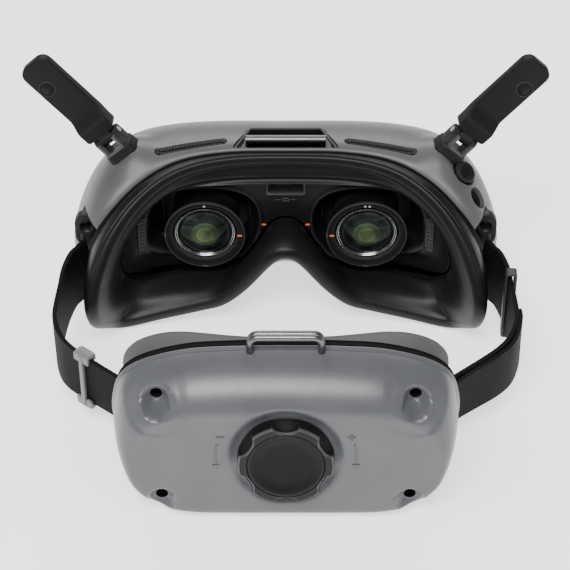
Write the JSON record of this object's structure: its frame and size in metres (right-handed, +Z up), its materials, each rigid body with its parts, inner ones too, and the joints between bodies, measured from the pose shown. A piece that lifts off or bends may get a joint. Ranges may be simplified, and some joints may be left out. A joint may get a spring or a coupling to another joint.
{
  "type": "fpv goggles",
  "caption": "Grey video goggles for flying small drones, with foam face pad, folding antennas, side straps and a rear battery pack with an adjusting knob.",
  "frame": {"origin": "centre of the object's box, on the surface that it rests on", "axes": "+X to the wearer's right, +Y forwards, +Z up"},
  "size_m": [0.2052, 0.197, 0.1081],
  "materials": {
    "shell_grey": "fine-grained matte",
    "pack_grey": "fine-grained satin",
    "charcoal_plastic": "fine-grained matte",
    "black_plastic": "matte",
    "foam_skin": "soft satin skin over foam",
    "strap_weave": "woven webbing",
    "satin_metal": "satin",
    "steel": "brushed",
    "buckle_grey": "satin",
    "lens_glass": "coated",
    "ring_metal": "polished edge",
    "board_green": "solder mask",
    "cell_wrap": "shrink film",
    "display_glass": "gloss"
  },
  "bodies": {
    "goggles": {"front_shell": "shell_grey", "foam_carrier": "black_plastic", "face_foam": "foam_skin", "inner_panel": "black_plastic", "side_grilles": "charcoal_plastic", "top_vents": "black_plastic", "strap_bracket": "charcoal_plastic", "strap_bar": "satin_metal", "card_socket": "satin_metal", "chassis": "charcoal_plastic", "guide_rails": "steel", "main_board": "board_green", "heat_sink": "satin_metal", "fan_frame": "charcoal_plastic", "antenna_base_left": "charcoal_plastic", "antenna_base_right": "charcoal_plastic", "antenna_pins": "steel", "joystick_base": "black_plastic", "strap_anchor_left": "black_plastic", "strap_anchor_right": "black_plastic", "front_strap_left": "strap_weave", "front_strap_right": "strap_weave", "strap_keeper": "black_plastic"},
    "optics_left": {"carriage_left": "charcoal_plastic", "display_left": "display_glass"},
    "optics_right": {"carriage_right": "charcoal_plastic", "display_right": "display_glass"},
    "focus_left": {"focus_tube_left": "black_plastic", "lens_left": "lens_glass", "lens_ring_left": "ring_metal"},
    "focus_right": {"focus_tube_right": "black_plastic", "lens_right": "lens_glass", "lens_ring_right": "ring_metal"},
    "focus_dial_left": {"focus_knob_left": "charcoal_plastic"},
    "focus_dial_right": {"focus_knob_right": "charcoal_plastic"},
    "fan": {"fan_rotor": "black_plastic"},
    "antenna_arm_left": {"antenna_left": "charcoal_plastic"},
    "antenna_arm_right": {"antenna_right": "charcoal_plastic"},
    "stick_ring": {"joystick_gimbal": "steel"},
    "stick_stem": {"joystick_stem": "steel"},
    "stick_cap": {"joystick_cap": "black_plastic"},
    "back_key": {"back_button": "black_plastic"},
    "pack": {"rear_case": "pack_grey", "pad_plate": "charcoal_plastic", "head_pad": "foam_skin", "battery_cells": "cell_wrap", "charge_board": "board_green", "knob_bush": "steel", "rear_loop": "satin_metal", "case_screws": "steel", "rear_strap_left": "strap_weave", "rear_strap_right": "strap_weave", "strap_buckle": "buckle_grey"},
    "power_key": {"power_button": "charcoal_plastic"},
    "knob": {"adjust_knob": "charcoal_plastic", "knob_cap": "charcoal_plastic", "pinion": "steel"},
    "rack_arm_left": {"rack_left": "black_plastic"},
    "rack_arm_right": {"rack_right": "black_plastic"}
  },
  "joints": [
    {"name": "eye_distance_left", "type": "slide", "parent": "goggles", "child": "optics_left", "axis": [-1, 0, 0], "range_m": [-0.004, 0.004]},
    {"name": "focus_dial_left_turn", "type": "hinge", "parent": "optics_left", "child": "focus_dial_left", "pos_m": [-0.0324, 0.052, 0.004], "axis": [0, 0, 1], "range_deg": [-135, 135]},
    {"name": "focus_left_slide", "type": "slide", "parent": "optics_left", "child": "focus_left", "axis": [0, 1, 0], "range_m": [-0.0015, 0.0015]},
    {"name": "eye_distance_right", "type": "slide", "parent": "goggles", "child": "optics_right", "axis": [1, 0, 0], "range_m": [-0.004, 0.004]},
    {"name": "focus_dial_right_turn", "type": "hinge", "parent": "optics_right", "child": "focus_dial_right", "pos_m": [0.0324, 0.052, 0.004], "axis": [0, 0, 1], "range_deg": [-135, 135]},
    {"name": "focus_right_slide", "type": "slide", "parent": "optics_right", "child": "focus_right", "axis": [0, 1, 0], "range_m": [-0.0015, 0.0015]},
    {"name": "antenna_left_fold", "type": "hinge", "parent": "goggles", "child": "antenna_arm_left", "pos_m": [-0.07, 0.045, 0.073], "axis": [-0.7413, 0, -0.6712], "range_deg": [0, 95]},
    {"name": "antenna_right_fold", "type": "hinge", "parent": "goggles", "child": "antenna_arm_right", "pos_m": [0.07, 0.045, 0.073], "axis": [-0.7413, 0, 0.6712], "range_deg": [0, 95]},
    {"name": "fan_spin", "type": "hinge", "parent": "goggles", "child": "fan", "pos_m": [0, 0.0782, 0.032], "axis": [0, 1, 0], "continuous": true},
    {"name": "stick_tilt_side", "type": "hinge", "parent": "goggles", "child": "stick_ring", "pos_m": [0.0685, 0.03928, 0.05765], "axis": [-0.5369, -0.8437, 0], "range_deg": [-10, 10], "stiffness_Nm_per_rad": 0.02},
    {"name": "stick_tilt_up", "type": "hinge", "parent": "stick_ring", "child": "stick_stem", "pos_m": [0.0685, 0.03928, 0.05765], "axis": [0.6404, -0.4075, -0.6511], "range_deg": [-10, 10], "stiffness_Nm_per_rad": 0.02},
    {"name": "stick_press", "type": "slide", "parent": "stick_stem", "child": "stick_cap", "axis": [-0.5493, 0.3495, -0.759], "range_m": [0, 0.0005], "stiffness_N_per_m": 600},
    {"name": "back_press", "type": "slide", "parent": "goggles", "child": "back_key", "axis": [-0.6621, 0.3511, -0.6621], "range_m": [0, 0.0006], "stiffness_N_per_m": 400},
    {"name": "headband", "type": "slide", "parent": "goggles", "child": "pack", "axis": [0, -1, 0], "range_m": [0, 0.016]},
    {"name": "power_press", "type": "slide", "parent": "pack", "child": "power_key", "axis": [0, 0, 1], "range_m": [0, 0.0005], "stiffness_N_per_m": 400},
    {"name": "knob_turn", "type": "hinge", "parent": "pack", "child": "knob", "pos_m": [0, -0.09079, 0.0292], "axis": [0, -0.9951, 0.0993], "range_deg": [0, 115]},
    {"name": "rack_left_slide", "type": "slide", "parent": "pack", "child": "rack_arm_left", "axis": [-1, 0, 0], "range_m": [0, 0.0161]},
    {"name": "rack_right_slide", "type": "slide", "parent": "pack", "child": "rack_arm_right", "axis": [1, 0, 0], "range_m": [0, 0.0161]}
  ],
  "couplings": [
    {"joint": "knob_turn", "follows": "headband", "rad_per_m": 125},
    {"joint": "rack_left_slide", "follows": "headband", "ratio": 1},
    {"joint": "rack_right_slide", "follows": "headband", "ratio": 1},
    {"joint": "focus_dial_left_turn", "follows": "focus_left_slide", "rad_per_m": 1570},
    {"joint": "focus_dial_right_turn", "follows": "focus_right_slide", "rad_per_m": 1570}
  ]
}
